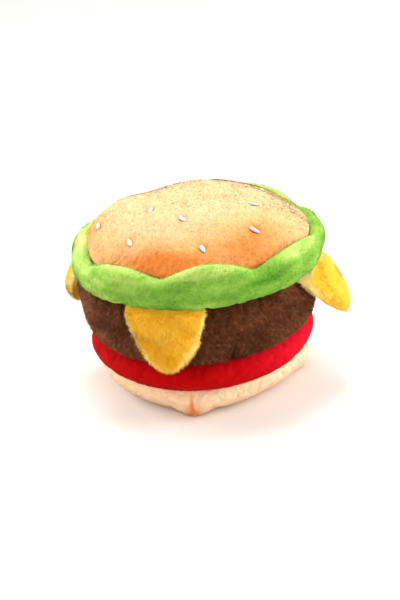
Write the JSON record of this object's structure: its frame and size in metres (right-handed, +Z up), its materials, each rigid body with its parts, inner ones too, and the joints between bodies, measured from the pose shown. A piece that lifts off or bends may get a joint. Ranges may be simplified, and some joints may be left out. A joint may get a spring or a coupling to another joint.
{
  "type": "stuffed toy hamburger",
  "caption": "Plush hamburger toy of sewn cloth bands: domed seeded bun, wavy lettuce rim, hanging cheese corners, patty, tomato and rounded bottom bun, with a squeaker inside.",
  "frame": {"origin": "middle of the flat underside of the bottom bun", "axes": "+Z up through the middle of the crown; -Y towards the cheese corner that hangs flat over the patty (the front); +X towards the cheese corner that stands out sideways"},
  "size_m": [0.1528, 0.1356, 0.096],
  "materials": {
    "bottom_bun_plush": "short-pile plush, matt, pale peach",
    "tomato_plush": "short-pile plush, matt, strong red",
    "patty_plush": "short-pile plush, matt, dark brown",
    "lettuce_plush": "short-pile plush, matt, fresh green with paler pile tips",
    "bun_plush": "short-pile plush, matt, toasted tan",
    "cheese_plush": "short-pile plush, matt, yellow-orange with pale edges",
    "seed_satin": "satin-stitched embroidery, off-white, slightly glossy",
    "sewing_thread": "spun polyester thread",
    "polyester_fibre": "loose white polyester fibre",
    "bulb_plastic": "soft translucent polyethylene",
    "whistle_plastic": "moulded white plastic"
  },
  "bodies": {
    "stuffed_body": {"bottom_bun_cover": "bottom_bun_plush", "tomato_band": "tomato_plush", "patty_band": "patty_plush", "lettuce_outer": "lettuce_plush", "lettuce_inner": "lettuce_plush", "top_bun_side": "bun_plush", "lettuce_wadding": "polyester_fibre", "fibre_filling_lower": "polyester_fibre", "fibre_filling_upper": "polyester_fibre", "seam_thread_bun_tomato": "sewing_thread", "seam_thread_tomato_patty": "sewing_thread", "seam_thread_patty_lettuce": "sewing_thread", "squeaker_bulb": "bulb_plastic", "squeaker_whistle": "whistle_plastic", "squeaker_reed_seat": "whistle_plastic", "squeaker_reed": "whistle_plastic"},
    "crown": {"top_bun_crown": "bun_plush", "seam_thread_crown": "sewing_thread", "seed_01": "seed_satin", "seed_02": "seed_satin", "seed_03": "seed_satin", "seed_04": "seed_satin", "seed_05": "seed_satin", "seed_06": "seed_satin", "seed_07": "seed_satin", "seed_08": "seed_satin", "seed_09": "seed_satin", "seed_10": "seed_satin"},
    "cheese_front": {"cheese_front_back": "cheese_plush", "cheese_front_wadding": "polyester_fibre", "cheese_front_face": "cheese_plush"},
    "cheese_right": {"cheese_right_back": "cheese_plush", "cheese_right_wadding": "polyester_fibre", "cheese_right_face": "cheese_plush"},
    "cheese_rear": {"cheese_rear_back": "cheese_plush", "cheese_rear_wadding": "polyester_fibre", "cheese_rear_face": "cheese_plush"},
    "cheese_left": {"cheese_left_back": "cheese_plush", "cheese_left_wadding": "polyester_fibre", "cheese_left_face": "cheese_plush"}
  },
  "joints": [
    {"name": "crown_press", "type": "slide", "parent": "stuffed_body", "child": "crown", "axis": [0, 0, -1], "range_m": [0, 0.009], "stiffness_N_per_m": 400, "deforming": ["fibre_filling_upper", "squeaker_bulb", "top_bun_side"]},
    {"name": "cheese_front_lift", "type": "hinge", "parent": "stuffed_body", "child": "cheese_front", "pos_m": [0, -0.0595, 0.0598], "axis": [-1, 0, 0], "range_deg": [0, 75], "stiffness_Nm_per_rad": 0.01},
    {"name": "cheese_right_lift", "type": "hinge", "parent": "stuffed_body", "child": "cheese_right", "pos_m": [0.0595, 0, 0.0598], "axis": [0, -1, 0], "range_deg": [-31.5, 43], "stiffness_Nm_per_rad": 0.01},
    {"name": "cheese_rear_lift", "type": "hinge", "parent": "stuffed_body", "child": "cheese_rear", "pos_m": [0, 0.0595, 0.0598], "axis": [1, 0, 0], "range_deg": [-13.5, 61], "stiffness_Nm_per_rad": 0.01},
    {"name": "cheese_left_lift", "type": "hinge", "parent": "stuffed_body", "child": "cheese_left", "pos_m": [-0.0595, 0, 0.0598], "axis": [0, 1, 0], "range_deg": [-23.5, 51], "stiffness_Nm_per_rad": 0.01}
  ]
}
